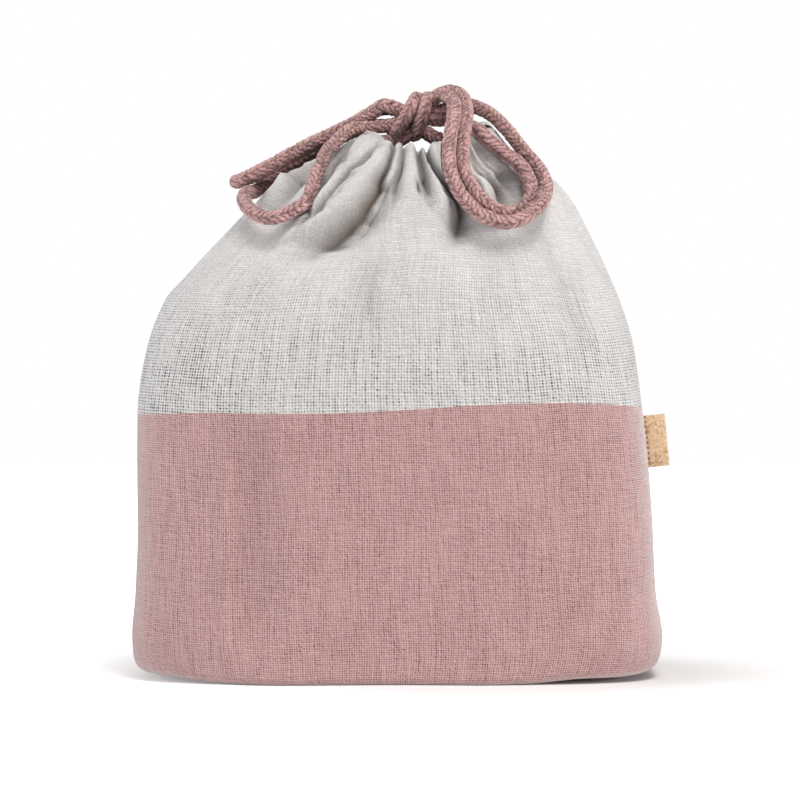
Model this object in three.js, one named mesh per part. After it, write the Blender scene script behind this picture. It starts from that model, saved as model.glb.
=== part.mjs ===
// Drawstring lunch bag of two-coloured cloth, gathered at the neck by two cords that are tied in a bow.
// Millimetres, +Z up, -Y to the front. The origin is the middle of the base, on the surface it stands on.

import * as THREE from "three";

// Cloth, cord and the gaps between sewn or touching pieces
const clothThickness = 1.2;
const seamGap = 0.3;
const cordDiameter = 5.4;
const cordClearance = 0.4;

// Boxed lower part
const baseWidth = 204;
const baseDepth = 104;
const bottomRadius = 12;
const waistHeight = 55;
const lineHeight = 101; // where the lower colour ends
const wallSwell = 2; // by which the walls stand out to the front and the back together
const leftTuck = 2.6; // by which the left wall stands in from the base
const waistTuck = 3.8; // by which the right wall stands in, at the waist and at the colour line
const lineTuck = 8;

// Upper part, which leans in from the shoulder to the neck
const shoulderRise = 42;
const shoulderTuckLeft = 12.5;
const shoulderTuckRight = 16;
const shoulderTuckDepth = 4;
const slopeRise = 33;
const slopeLeft = 59;
const slopeRight = 67;
const slopeDepth = 84;

// Neck: an oval rim, set to the right of the base's middle, that dips at the front and the back
const neckRise = 18.4;
const neckWidth = 55;
const neckDepth = 47;
const neckOffset = 12;
const rimDip = 4.5;

// Gathers of the cloth at the neck, counted on one half of the bag
const pleatsPerHalf = 8;
const pleatDepth = 2.6;

// Casing: the hem that the cords run in, leaning out from the rim, open at both sides of the neck
const casingLean = THREE.MathUtils.degToRad(42);
const slitWidth = 16;

// Seam allowances inside the two side seams
const seamAllowance = 8;
const seamEndMargin = 3;

// Folded tag in the right side seam
const tagWidth = 8.2;
const tagHeight = 20;
const tagLeaf = 0.65;
const tagDrop = 2; // below the colour line

// Knot of the bow: the turns of cord that bind its loops
const knotCentre = new THREE.Vector3(7, -1, 214);
const knotRadius = 6.3;
const knotTurns = 2;
const knotGap = 0.5;

// Roundness of the cross-sections: 2 is an oval, higher is nearer a box
const boxyBase = 5;
const boxyLine = 4.5;
const boxyShoulder = 3.2;
const boxySlope = 2.4;
const boxyNeck = 2;

// Facets
const lowerColumns = 26;
const arcRows = 3;
const wallRows = 5;
const columnsPerPleat = 5;
const upperRows = 8;
const cordSides = 8;
const cordStep = 7;
const coilSteps = 24;

// Materials
const roseCloth = new THREE.MeshStandardMaterial({ color: 0xc19291, roughness: 0.95, metalness: 0 });
const naturalCloth = new THREE.MeshStandardMaterial({ color: 0xd8d5d2, roughness: 0.95, metalness: 0 });
const roseCord = new THREE.MeshStandardMaterial({ color: 0xa8767a, roughness: 0.95, metalness: 0 });
const corkSheet = new THREE.MeshStandardMaterial({ color: 0xc9a271, roughness: 0.9, metalness: 0 });

// Sizes that follow from those above
const boreWidth = 2 * cordDiameter + 3 * cordClearance;
const boreDeep = cordDiameter + 2 * cordClearance;
const casingWidth = boreWidth + 2 * clothThickness;
const casingDeep = boreDeep + 2 * clothThickness;
const hemEdge = casingWidth + seamGap; // from the rim down to the top edge of the upper panels
const hemDrop = hemEdge * Math.cos(casingLean);
const hemGrow = hemEdge * Math.sin(casingLean);
const halfBase = baseWidth / 2;
const wallDepth = baseDepth + wallSwell;
const tagTop = lineHeight - tagDrop;
const shoulderHeight = lineHeight + shoulderRise;
const slopeHeight = shoulderHeight + slopeRise;
const hemHeight = slopeHeight + neckRise;
const rimHeight = hemHeight + hemDrop;
const upperColumns = pleatsPerHalf * columnsPerPleat;
const slitAngle = Math.asin(slitWidth / neckDepth);

const smooth = (t) => THREE.MathUtils.smoothstep(t, 0, 1);

// Cross-sections of the bag from the base up to the hem
const sections = [
  { height: bottomRadius, left: halfBase, right: halfBase, depth: baseDepth, boxy: boxyBase },
  { height: waistHeight, left: halfBase - leftTuck, right: halfBase - waistTuck, depth: wallDepth, boxy: boxyBase },
  { height: lineHeight, left: halfBase - leftTuck, right: halfBase - lineTuck, depth: wallDepth, boxy: boxyLine },
  {
    height: shoulderHeight,
    left: halfBase - shoulderTuckLeft,
    right: halfBase - shoulderTuckRight,
    depth: baseDepth - shoulderTuckDepth,
    boxy: boxyShoulder,
  },
  { height: slopeHeight, left: slopeLeft, right: slopeRight, depth: slopeDepth, boxy: boxySlope },
  {
    height: hemHeight,
    left: neckWidth / 2 + hemGrow - neckOffset,
    right: neckWidth / 2 + hemGrow + neckOffset,
    depth: neckDepth + 2 * hemGrow,
    boxy: boxyNeck,
  },
];

// Slope of one size at a section, from its neighbours
function slopeAt(index, size) {
  const below = sections[Math.max(index - 1, 0)];
  const above = sections[Math.min(index + 1, sections.length - 1)];
  return (above[size] - below[size]) / (above.height - below.height);
}

// One size of the cross-section at a height, on a smooth curve through the sections
function sizeAt(height, size) {
  let index = sections.findIndex((section) => section.height > height) - 1;
  if (index < 0) index = height < sections[0].height ? 0 : sections.length - 2;
  const [low, high] = [sections[index], sections[index + 1]];
  const span = high.height - low.height;
  const t = THREE.MathUtils.clamp((height - low.height) / span, 0, 1);
  const rise = high[size] - low[size];
  const [startSlope, endSlope] = [slopeAt(index, size) * span, slopeAt(index + 1, size) * span];
  return low[size] + startSlope * t + (3 * rise - 2 * startSlope - endSlope) * t ** 2
    + (startSlope + endSlope - 2 * rise) * t ** 3;
}

// Share of the way from the shoulder to the hem, for what grows towards the neck
const towardsNeck = (height) => smooth((height - shoulderHeight) / (hemHeight - shoulderHeight));
const rimWave = (angle) => rimDip * Math.cos(2 * angle);
const pleat = (angle) => pleatDepth * (0.5 - 0.5 * Math.cos(2 * pleatsPerHalf * angle));

// A point of the bag's wall, moved in by an inset. Angle 0 is the right side, and the front is negative.
function wallPoint(angle, height, inset) {
  const share = towardsNeck(height);
  const lean = share * casingLean;
  const left = sizeAt(height, "left");
  const right = sizeAt(height, "right");
  const halfWidth = (left + right) / 2 - inset * Math.cos(lean);
  const halfDepth = sizeAt(height, "depth") / 2 - inset * Math.cos(lean);
  const boxy = sizeAt(height, "boxy");
  const [cosine, sine] = [Math.cos(angle), Math.sin(angle)];
  const out = (Math.abs(cosine / halfWidth) ** boxy + Math.abs(sine / halfDepth) ** boxy) ** (-1 / boxy);
  const reach = out + share * pleat(angle);
  return new THREE.Vector3(
    (right - left) / 2 + reach * cosine,
    reach * sine,
    height + share * rimWave(angle) - inset * Math.sin(lean),
  );
}

// A point of the rounded bottom edge, at a turn from 0 under the base to 90 degrees on the wall
function bottomPoint(angle, turn, thickness) {
  const radius = bottomRadius - thickness;
  const point = wallPoint(angle, bottomRadius, bottomRadius - radius * Math.sin(turn));
  point.z = bottomRadius - radius * Math.cos(turn);
  return point;
}

// A point of the casing: so far down its slope from the rim, and so deep under its outer face
function casingPoint(angle, along, deep) {
  const grow = along * Math.sin(casingLean) - deep * Math.cos(casingLean);
  return new THREE.Vector3(
    neckOffset + (neckWidth / 2 + grow) * Math.cos(angle),
    (neckDepth / 2 + grow) * Math.sin(angle),
    rimHeight + rimWave(angle) - along * Math.cos(casingLean) - deep * Math.sin(casingLean),
  );
}

// A closed geometry from points and four-sided faces, with its faces turned outwards
function closedGeometry(points, quads) {
  const triangles = quads.flatMap(([a, b, c, d]) => [a, b, c, a, c, d]);
  let volume = 0;
  for (let i = 0; i < triangles.length; i += 3) {
    const [a, b, c] = triangles.slice(i, i + 3).map((index) => points[index]);
    volume += a.dot(b.clone().cross(c));
  }
  const geometry = new THREE.BufferGeometry().setFromPoints(points);
  geometry.setIndex(volume < 0 ? triangles.reverse() : triangles);
  geometry.computeVertexNormals();
  return geometry;
}

// A sheet between an outer and an inner surface, each a function of a column and a row
function sheetGeometry(columns, rows, outer, inner) {
  const points = [];
  const quads = [];
  const wide = columns + 1;
  const side = wide * (rows + 1);
  for (const surface of [outer, inner])
    for (let row = 0; row <= rows; row++)
      for (let column = 0; column <= columns; column++) points.push(surface(column / columns, row / rows));
  for (let row = 0; row < rows; row++)
    for (let column = 0; column < columns; column++) {
      const at = row * wide + column;
      quads.push([at, at + 1, at + 1 + wide, at + wide]);
      quads.push([at + side, at + side + wide, at + side + 1 + wide, at + side + 1]);
    }
  const edge = (from, to) => quads.push([to, from, from + side, to + side]);
  for (let column = 0; column < columns; column++) {
    edge(column, column + 1);
    edge(rows * wide + column + 1, rows * wide + column);
  }
  for (let row = 0; row < rows; row++) {
    edge((row + 1) * wide, row * wide);
    edge(row * wide + columns, (row + 1) * wide + columns);
  }
  return closedGeometry(points, quads);
}

// A sleeve along a row of stations, each an outer loop and a bore loop of as many points
function sleeveGeometry(stations) {
  const points = stations.flatMap(({ outer, bore }) => [...outer, ...bore]);
  const count = stations[0].outer.length;
  const last = (stations.length - 1) * 2 * count;
  const quads = [];
  for (let k = 0; k < count; k++) {
    const next = (k + 1) % count;
    for (let at = 0; at < last; at += 2 * count) {
      const ahead = at + 2 * count;
      quads.push([at + k, at + next, ahead + next, ahead + k]);
      quads.push([at + count + k, ahead + count + k, ahead + count + next, at + count + next]);
    }
    quads.push([next, k, count + k, count + next]);
    quads.push([last + k, last + next, last + count + next, last + count + k]);
  }
  return closedGeometry(points, quads);
}

// A round cord along a curve
function cordGeometry(curve, steps) {
  const corners = Array.from({ length: cordSides }, (_, side) => {
    const angle = (2 * Math.PI * side) / cordSides;
    return new THREE.Vector2(Math.cos(angle), Math.sin(angle)).multiplyScalar(cordDiameter / 2);
  });
  return new THREE.ExtrudeGeometry(new THREE.Shape(corners), {
    steps: steps ?? Math.max(2, Math.round(curve.getLength() / cordStep)),
    bevelEnabled: false,
    extrudePath: curve,
  });
}

const bag = new THREE.Group();

function addPiece(name, geometry, material, parent = bag) {
  const mesh = new THREE.Mesh(geometry, material);
  mesh.name = name;
  parent.add(mesh);
  return mesh;
}

// The front and the back half of the bag, each with the angle at its left side and its right side
const halves = [
  { side: "front", start: -Math.PI, end: 0 },
  { side: "back", start: Math.PI, end: 0 },
];

// An angle on one half at a height, kept half a seam gap from the side seams
function halfAngle({ start, end }, share, height) {
  const halfWidth = (sizeAt(height, "left") + sizeAt(height, "right")) / 2;
  const inward = (Math.sign(end - start) * seamGap) / 2 / halfWidth;
  return THREE.MathUtils.lerp(start + inward, end - inward, share);
}

// Base and lower panels, whose bottom edges roll under to meet the base
function buildLowerPart() {
  const outline = Array.from({ length: 2 * lowerColumns }, (_, i) => {
    const point = wallPoint((Math.PI * i) / lowerColumns, bottomRadius, bottomRadius + seamGap);
    return new THREE.Vector2(point.x, point.y);
  });
  const base = new THREE.ExtrudeGeometry(new THREE.Shape(outline), { depth: clothThickness, bevelEnabled: false });
  addPiece("base_panel", base, roseCloth);

  const arcShare = arcRows / (arcRows + wallRows);
  const topHeight = lineHeight - seamGap / 2;
  for (const half of halves) {
    const surface = (thickness) => (across, up) => {
      const share = Math.max((up - arcShare) / (1 - arcShare), 0);
      const height = THREE.MathUtils.lerp(bottomRadius, topHeight, share);
      const angle = halfAngle(half, across, height);
      if (up <= arcShare) return bottomPoint(angle, ((up / arcShare) * Math.PI) / 2, thickness);
      return wallPoint(angle, height, thickness);
    };
    const geometry = sheetGeometry(lowerColumns, arcRows + wallRows, surface(0), surface(clothThickness));
    addPiece(`lower_${half.side}_panel`, geometry, roseCloth);
  }
}

// Seam allowances: the two cloth edges of each side seam, folded flat inside the lower part
function buildSideSeams() {
  const bottom = bottomRadius + seamEndMargin;
  const top = lineHeight - seamEndMargin;
  const spread = seamAllowance / halfBase;
  for (const [name, middle] of [["left_side_seam", Math.PI], ["right_side_seam", 0]]) {
    const surface = (inset) => (across, up) =>
      wallPoint(middle + spread * (2 * across - 1), THREE.MathUtils.lerp(bottom, top, up), inset);
    const face = clothThickness + seamGap;
    addPiece(name, sheetGeometry(2, wallRows, surface(face), surface(face + 2 * clothThickness)), roseCloth);
  }
}

// Upper panels, gathered towards the neck
function buildUpperPart() {
  const bottom = lineHeight + seamGap / 2;
  for (const half of halves) {
    const surface = (inset) => (across, up) => {
      const height = THREE.MathUtils.lerp(bottom, hemHeight, up);
      return wallPoint(halfAngle(half, across, height), height, inset);
    };
    const geometry = sheetGeometry(upperColumns, upperRows, surface(0), surface(clothThickness));
    addPiece(`upper_${half.side}_panel`, geometry, naturalCloth);
  }
}

// Casings: a flat sleeve on each half, with its bore for the two cords
function buildCasings() {
  const corner = clothThickness;
  const ring = (angle, wall, ripple) => {
    const [low, high] = [wall, casingWidth - wall];
    const [near, far] = [wall, casingDeep - wall];
    const place = [
      [low + corner, near], [high - corner, near], [high, near + corner],
      [high, far - corner], [high - corner, far], [low + corner, far],
      [low, far - corner], [low, near + corner],
    ];
    return place.map(([along, deep]) => {
      const point = casingPoint(angle, along, deep);
      if (deep === 0) {
        point.x += ripple * Math.cos(angle);
        point.y += ripple * Math.sin(angle);
      }
      return point;
    });
  };
  for (const { side, start, end } of halves) {
    const inward = Math.sign(end - start) * slitAngle;
    const stations = Array.from({ length: upperColumns + 1 }, (_, i) => {
      const angle = THREE.MathUtils.lerp(start + inward, end - inward, i / upperColumns);
      return { outer: ring(angle, 0, pleat(angle)), bore: ring(angle, clothThickness, 0) };
    });
    addPiece(`${side}_casing`, sleeveGeometry(stations), naturalCloth);
  }
}

// Part of a cord's ring through the casings, between two angles
class CasingCurve extends THREE.Curve {
  constructor(along, start, end) {
    super();
    Object.assign(this, { along, start, end });
  }
  getPoint(t, target = new THREE.Vector3()) {
    const angle = THREE.MathUtils.lerp(this.start, this.end, t);
    return target.copy(casingPoint(angle, this.along, casingDeep / 2));
  }
}

// The two cords in the casings: the left one comes out at the left slit, the right one at the right slit.
// Each turns round in the other slit, from the front casing to the back one.
const cordsApart = (cordDiameter + cordClearance) / 2;
const slitReach = slitAngle - seamGap / (neckDepth / 2);
const casingCords = [
  {
    name: "left_cord",
    along: casingWidth / 2 - cordsApart,
    turnMiddle: 0,
    exitAngle: ({ start }) => (share) => start * (1 - (share * slitReach) / Math.PI),
  },
  {
    name: "right_cord",
    along: casingWidth / 2 + cordsApart,
    turnMiddle: Math.PI,
    exitAngle: ({ start }) => (share) => Math.sign(start) * share * slitReach,
  },
];

function buildCasingCords() {
  for (const { name, along, turnMiddle } of casingCords) {
    for (const { side, start, end } of halves) {
      const inward = Math.sign(end - start) * slitAngle;
      const curve = new CasingCurve(along, start + inward, end - inward);
      addPiece(`${name}_in_${side}_casing`, cordGeometry(curve), roseCord);
    }
    const curve = new CasingCurve(along, turnMiddle - slitReach, turnMiddle + slitReach);
    addPiece(`${name}_turn`, cordGeometry(curve), roseCord);
  }
}

// Routes of the cords from the casings' ends to the knot, each with the cord and the casing it comes from
const leadRoutes = {
  left_front_lead: { cord: "left_cord", side: "front", route: [[-11, -3.3, 203.6], [-5, -3, 204.2], [1.6, -3, 205]] },
  left_back_lead: { cord: "left_cord", side: "back", route: [[-11, 3.3, 203.6], [-5, 3, 204.2], [2.2, 3, 205]] },
  right_front_lead: {
    cord: "right_cord",
    side: "front",
    route: [[37.5, -3.3, 197.2], [30, -3, 199.5], [22, -3, 203.5], [14.2, -3, 205.6]],
  },
  right_back_lead: {
    cord: "right_cord",
    side: "back",
    route: [[37.5, 3.3, 197.2], [30, 3, 199.5], [22, 3, 203.5], [15.4, 3, 205.6]],
  },
};

// Routes of the bow's loops, from the knot round to the knot
const loopRoutes = {
  right_outer_loop: [
    [13.2, -4.4, 219.4], [16.6, -5.6, 221.6], [19.8, -9.4, 221], [21.5, -15, 218], [21.8, -20.6, 214.2],
    [21.3, -25.8, 210], [20.4, -29.8, 205.6], [19.7, -32.8, 199.6], [19.6, -36.8, 194.3], [20.2, -40, 189.8],
    [22, -42.6, 184.6], [25.4, -44.8, 179], [30, -46.6, 174.5], [35.8, -47.8, 171.3], [41.5, -47.8, 170.6],
    [47, -46.2, 172.5], [51.4, -43.2, 175.6], [54.5, -39, 179.4], [55.9, -33.8, 183.6], [55.4, -28, 188.4],
    [52.8, -22.6, 193.6], [48.6, -18.6, 198.8], [45.2, -15.4, 203.6], [41.6, -12.4, 208.4], [37.6, -7.8, 213],
    [33.2, -3.2, 216.3], [28, 1, 218.6], [21.5, 3.4, 218.2], [15.8, 4.2, 216.4],
  ],
  right_inner_loop: [
    [14, 1.2, 221.2], [18.8, 0.6, 223.6], [22.8, -2, 223.2], [25.2, -6.2, 220.8], [26.4, -10.8, 217.4],
    [26.5, -15.6, 214], [26.4, -20.4, 210.4], [25.7, -24.2, 206.5], [25.3, -27.6, 202.4], [25, -30.8, 197.6],
    [24.9, -33.8, 194], [25.3, -36.4, 190.2], [26.7, -38.8, 186.6], [28.9, -41.3, 182.7], [32.2, -42.9, 178.9],
    [36, -43.2, 175.9], [40.4, -42.2, 174.5], [44.8, -40.5, 174.9], [48.3, -37.7, 177.6], [50, -35.2, 181.6],
    [49.9, -32.8, 185.8], [48.2, -29.5, 190.6], [45.6, -28, 194.1], [41.5, -26.4, 197.4], [37.4, -25, 200.8],
    [34, -23.9, 203.7], [31.7, -19.8, 206.6], [28.8, -13.2, 208.8], [24.6, -7.8, 211.1], [19.6, -4, 212.6],
    [14.8, -2.8, 212.6],
  ],
  left_outer_loop: [
    [-1.2, -4, 217.3], [-5, -3.6, 218], [-9, -1.4, 215.6], [-13, 0, 213.6], [-16.5, 0.7, 211.6],
    [-20, 0.6, 209.8], [-25.5, -0.6, 207], [-33, -2.4, 203.3], [-40.8, -3.8, 199], [-48.5, -4.4, 194.8],
    [-56, -3.9, 191], [-60.4, -2.6, 189.2], [-61.8, 0.3, 189], [-60.4, 3, 189.5], [-56, 3.7, 191.2],
    [-48.5, 3.2, 194.8], [-40.8, 3.2, 199], [-33, 3.8, 203.3], [-25.5, 5.2, 207], [-20, 6.3, 209.8],
    [-16.5, 6.4, 211.6], [-13, 5.8, 213.6], [-9, 4.4, 216.4], [-5.5, 3.5, 217.4], [-2.4, 3.1, 217.6],
  ],
  left_inner_loop: [
    [-0.2, 3.2, 211], [-4, 5.8, 211], [-8.5, 10.2, 211.4], [-13, 12.8, 210.9], [-18.5, 13.6, 208.8],
    [-25, 13, 205.6], [-32, 12.2, 201.8], [-39, 11.8, 197.6], [-45.5, 11.8, 194], [-50, 11, 190.1],
    [-53.8, 7, 186.4], [-55.6, 0, 185], [-57.1, -8, 184.1], [-57.9, -16, 182.2], [-57.4, -23, 179.9],
    [-55.8, -28.2, 177.3], [-53.6, -32.8, 175.4], [-50.2, -37.8, 173.4], [-46.2, -40.4, 172.6],
    [-41.4, -41, 173.9], [-36.6, -40.4, 176.4], [-33, -38.8, 179.4], [-31.5, -36.2, 183.3],
    [-30.2, -32.3, 188.4], [-28.2, -26.4, 194], [-26.4, -19.2, 198.6], [-23.6, -13.8, 202.6],
    [-19.6, -8.6, 206.9], [-15.4, -4.9, 209.2], [-11, -3.3, 209.4], [-6, -3, 210], [0.4, -3, 211.2],
  ],
};

function routeCurve(points) {
  return new THREE.CatmullRomCurve3(points, false, "centripetal");
}

function buildBow() {
  const toPoints = (route) => route.map((point) => new THREE.Vector3(...point));
  for (const [name, { cord, side, route }] of Object.entries(leadRoutes)) {
    const { along, exitAngle } = casingCords.find((casingCord) => casingCord.name === cord);
    const outward = exitAngle(halves.find((half) => half.side === side));
    const exit = [1, 0.72].map((share) => casingPoint(outward(share), along, casingDeep / 2));
    addPiece(name, cordGeometry(routeCurve([...exit, ...toPoints(route)])), roseCord);
  }
  for (const [name, route] of Object.entries(loopRoutes)) {
    addPiece(name, cordGeometry(routeCurve(toPoints(route))), roseCord);
  }
}

// The knot's turns, a helix round the bow's left-to-right axis
class KnotCurve extends THREE.Curve {
  getPoint(t, target = new THREE.Vector3()) {
    const angle = 2 * Math.PI * knotTurns * t;
    const across = (t - 0.5) * knotTurns * (cordDiameter + knotGap);
    return target.set(across, knotRadius * Math.cos(angle), knotRadius * Math.sin(angle)).add(knotCentre);
  }
}

function buildKnot() {
  const curve = new KnotCurve();
  const turn = knotTurns * coilSteps;
  let least = Infinity;
  const points = curve.getPoints(turn);
  points.forEach((point, i) =>
    points.slice(i + coilSteps / 2).forEach((other) => (least = Math.min(least, point.distanceTo(other)))),
  );
  console.log(`least gap between the knot's turns: ${(least - cordDiameter).toFixed(2)} mm`);
  addPiece("bow_knot", cordGeometry(curve, turn), roseCord);
}

// Tag: a folded strip whose two leaves are sewn into the right side seam. Its inner edge is round about the seam line.
function buildTag() {
  const halfThick = tagLeaf + seamGap / 2;
  const low = wallPoint(0, tagTop - tagHeight, 0);
  const high = wallPoint(0, tagTop, 0);
  const outline = (radius) => {
    const path = new THREE.Path();
    path.absarc(0, 0, radius, Math.PI / 2, (3 * Math.PI) / 2, false);
    path.absarc(tagWidth - 2 * halfThick, 0, radius, -Math.PI / 2, Math.PI / 2, false);
    return path.getPoints(3);
  };
  const shape = new THREE.Shape(outline(halfThick));
  shape.holes.push(new THREE.Path(outline(seamGap / 2)));
  const hinge = new THREE.Group();
  hinge.position.copy(low);
  hinge.position.x += halfThick + seamGap;
  hinge.rotation.y = Math.atan2(high.x - low.x, high.z - low.z);
  bag.add(hinge);
  addPiece("cork_tag", new THREE.ExtrudeGeometry(shape, { depth: tagHeight, bevelEnabled: false }), corkSheet, hinge);
}

buildLowerPart();
buildSideSeams();
buildUpperPart();
buildCasings();
buildCasingCords();
buildBow();
buildKnot();
buildTag();

export default bag;
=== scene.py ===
import math

import bmesh
import bpy
import numpy as np
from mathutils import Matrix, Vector
from mathutils.kdtree import KDTree


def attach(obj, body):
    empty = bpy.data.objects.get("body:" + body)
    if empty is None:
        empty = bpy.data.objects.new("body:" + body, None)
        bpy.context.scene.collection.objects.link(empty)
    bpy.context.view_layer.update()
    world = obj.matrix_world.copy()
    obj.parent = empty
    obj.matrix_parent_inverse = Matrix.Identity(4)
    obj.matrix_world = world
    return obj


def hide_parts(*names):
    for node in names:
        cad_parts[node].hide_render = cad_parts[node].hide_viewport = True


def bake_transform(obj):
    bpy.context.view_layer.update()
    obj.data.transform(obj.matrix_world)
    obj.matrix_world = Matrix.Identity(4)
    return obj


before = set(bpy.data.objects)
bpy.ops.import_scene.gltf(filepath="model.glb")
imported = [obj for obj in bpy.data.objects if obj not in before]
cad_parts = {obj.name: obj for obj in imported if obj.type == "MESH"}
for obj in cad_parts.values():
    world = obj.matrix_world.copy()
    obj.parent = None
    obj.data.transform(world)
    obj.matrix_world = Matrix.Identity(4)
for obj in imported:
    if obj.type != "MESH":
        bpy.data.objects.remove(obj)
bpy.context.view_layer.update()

mm = 0.001
scene = bpy.context.scene
scene.view_settings.view_transform = "Standard"


# camera, level with the middle of the bag
cameraPlace = {"side": 1.35, "distance": 1150, "height": 105, "lens": 134.46, "sensor": 36, "reach": 20}

cameraData = bpy.data.cameras.new("camera")
cameraData.lens = cameraPlace["lens"]
cameraData.sensor_width = cameraPlace["sensor"]
cameraData.clip_end = cameraPlace["reach"]
camera = bpy.data.objects.new("camera", cameraData)
camera.location = (cameraPlace["side"] * mm, -cameraPlace["distance"] * mm, cameraPlace["height"] * mm)
camera.rotation_euler = (math.radians(90), 0, 0)
scene.collection.objects.link(camera)
scene.camera = camera
print("camera placed")


# curves and meshes

def smoothStep(t):
    t = np.clip(t, 0, 1)
    return t * t * (3 - 2 * t)


def smoothTable(x, y, at):
    # rounded curve through a table of sizes, without overshoot
    rise = np.diff(y) / np.diff(x)
    slope = np.zeros(len(x))
    slope[0], slope[-1] = rise[0], rise[-1]
    for i in range(1, len(x) - 1):
        if rise[i - 1] * rise[i] > 0:
            slope[i] = 2 * rise[i - 1] * rise[i] / (rise[i - 1] + rise[i])
    at = np.asarray(at, float)
    index = np.clip(np.searchsorted(x, at) - 1, 0, len(x) - 2)
    span = x[index + 1] - x[index]
    t = np.clip((at - x[index]) / span, 0, 1)
    return ((2 * t**3 - 3 * t**2 + 1) * y[index] + (t**3 - 2 * t**2 + t) * span * slope[index]
            + (3 * t**2 - 2 * t**3) * y[index + 1] + (t**3 - t**2) * span * slope[index + 1])


def runLength(grid, axis):
    # length along the rows or the columns of a grid of points
    steps = np.linalg.norm(np.diff(grid, axis=axis), axis=-1)
    return np.insert(np.cumsum(steps, axis=axis), 0, 0, axis=axis)


def evenSteps(line, step):
    reach = runLength(line, 0)
    count = max(2, int(round(reach[-1] / step)))
    at = np.linspace(0, reach[-1], count + 1)
    return np.column_stack([np.interp(at, reach, line[:, k]) for k in range(line.shape[1])])


def smoothRoute(points, step):
    # the same rounded curve that the cords' solids follow
    pts = np.array(points, float)
    pts = np.vstack([2 * pts[0] - pts[1], pts, 2 * pts[-1] - pts[-2]])
    fine = []
    for i in range(1, len(pts) - 2):
        p0, p1, p2, p3 = pts[i - 1:i + 3]
        t0 = 0.0
        t1 = t0 + np.linalg.norm(p1 - p0) ** 0.5
        t2 = t1 + np.linalg.norm(p2 - p1) ** 0.5
        t3 = t2 + np.linalg.norm(p3 - p2) ** 0.5
        t = np.linspace(t1, t2, 24, endpoint=False)[:, None]
        a1 = ((t1 - t) * p0 + (t - t0) * p1) / (t1 - t0)
        a2 = ((t2 - t) * p1 + (t - t1) * p2) / (t2 - t1)
        a3 = ((t3 - t) * p2 + (t - t2) * p3) / (t3 - t2)
        b1 = ((t2 - t) * a1 + (t - t0) * a2) / (t2 - t0)
        b2 = ((t3 - t) * a2 + (t - t1) * a3) / (t3 - t1)
        fine.append(((t2 - t) * b1 + (t - t1) * b2) / (t2 - t1))
    fine.append(pts[-2:-1])
    return evenSteps(np.vstack(fine), step)


def inMetres(point):
    return tuple(value * mm for value in point)


def newPiece(name, points, faces, material):
    mesh = bpy.data.meshes.new(name)
    mesh.from_pydata([tuple(p) for p in np.asarray(points) * mm], [], faces)
    mesh.validate()
    piece = bpy.data.objects.new(name, mesh)
    scene.collection.objects.link(piece)
    mesh.materials.append(material)
    mesh.polygons.foreach_set("use_smooth", np.ones(len(mesh.polygons), bool))
    return piece


def pointAttribute(piece, name, values):
    attribute = piece.data.attributes.new(name, "FLOAT", "POINT")
    attribute.data.foreach_set("value", np.asarray(values, np.float32).ravel())


def applyModifiers(piece):
    bpy.ops.object.select_all(action="DESELECT")
    piece.select_set(True)
    bpy.context.view_layer.objects.active = piece
    for modifier in list(piece.modifiers):
        bpy.ops.object.modifier_apply(modifier=modifier.name)


# node helpers

def fillSocket(tree, socket, value):
    # a number or a colour is set on the socket, an output is linked to it
    if isinstance(value, (int, float, tuple)):
        socket.default_value = value
    else:
        tree.links.new(value, socket)


def mathNode(tree, operation, *values, clamp=False):
    node = tree.nodes.new("ShaderNodeMath")
    node.operation = operation
    node.use_clamp = clamp
    for socket, value in zip(node.inputs, values):
        fillSocket(tree, socket, value)
    return node.outputs[0]


def times(tree, first, second, clamp=False):
    return mathNode(tree, "MULTIPLY", first, second, clamp=clamp)


def fromOne(tree, value):
    return mathNode(tree, "SUBTRACT", 1.0, value)


def pairNode(tree, x, y):
    node = tree.nodes.new("ShaderNodeCombineXYZ")
    tree.links.new(x, node.inputs[0])
    tree.links.new(y, node.inputs[1])
    return node.outputs[0]


def noiseNode(tree, vector, scale, detail=2.0, roughness=0.5, flat=False):
    node = tree.nodes.new("ShaderNodeTexNoise")
    node.noise_dimensions = "2D" if flat else "3D"
    node.inputs["Scale"].default_value = scale
    node.inputs["Detail"].default_value = detail
    node.inputs["Roughness"].default_value = roughness
    tree.links.new(vector, node.inputs["Vector"])
    return node.outputs["Fac"]


def cellNoise(tree, x, y, shift):
    # one random value for each cell of the weave
    whole = [mathNode(tree, "FLOOR", mathNode(tree, "ADD", value, shift)) for value in (x, y)]
    node = tree.nodes.new("ShaderNodeTexWhiteNoise")
    node.noise_dimensions = "2D"
    tree.links.new(pairNode(tree, *whole), node.inputs["Vector"])
    return node.outputs["Value"]


def rangeNode(tree, value, low, high, toLow=0.0, toHigh=1.0):
    node = tree.nodes.new("ShaderNodeMapRange")
    for socket, number in zip(node.inputs[1:5], (low, high, toLow, toHigh)):
        socket.default_value = number
    tree.links.new(value, node.inputs[0])
    return node.outputs[0]


def mixColour(tree, factor, first, second, blend="MIX"):
    node = tree.nodes.new("ShaderNodeMix")
    node.data_type = "RGBA"
    node.blend_type = blend
    for socket, value in ((node.inputs[0], factor), (node.inputs[6], first), (node.inputs[7], second)):
        fillSocket(tree, socket, value)
    return node.outputs[2]


def fromScreen(red, green, blue):
    def linear(value):
        value /= 255
        return value / 12.92 if value <= 0.04045 else ((value + 0.055) / 1.055) ** 2.4
    return (linear(red), linear(green), linear(blue), 1.0)


def startMaterial(name):
    material = bpy.data.materials.new(name)
    material.use_nodes = True
    tree = material.node_tree
    return material, tree, tree.nodes["Principled BSDF"]


def brighten(tree, colour, value):
    hue = tree.nodes.new("ShaderNodeHueSaturation")
    tree.links.new(value, hue.inputs["Value"])
    tree.links.new(colour, hue.inputs["Color"])
    return hue.outputs[0]


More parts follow.
